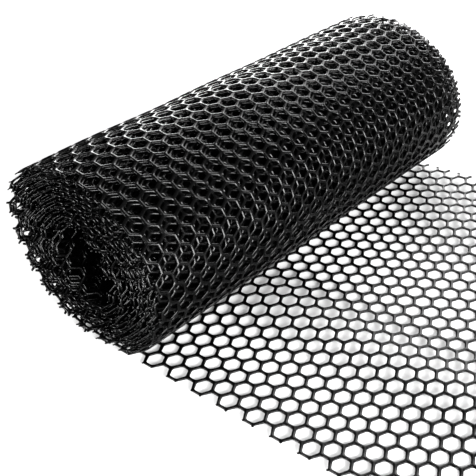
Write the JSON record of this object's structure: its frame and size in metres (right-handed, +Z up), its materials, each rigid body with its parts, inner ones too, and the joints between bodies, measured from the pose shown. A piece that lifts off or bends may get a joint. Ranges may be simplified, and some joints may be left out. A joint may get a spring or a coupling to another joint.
{
  "type": "roll of plastic poultry netting",
  "caption": "Roll of black plastic netting with six-sided openings, wound loosely round an open core, its loose end lying flat on the floor.",
  "frame": {"origin": "centre of the bounding box's bottom, on the surface that the roll lies on", "axes": "+X along the unrolled length towards the free edge, +Y along the roll from its smaller end to its larger end, +Z up"},
  "size_m": [0.3839, 0.4, 0.1381],
  "materials": {
    "netting": "black moulded plastic with a satin gloss"
  },
  "bodies": {
    "root": {"wound_roll": "netting", "loose_end": "netting"}
  },
  "joints": []
}
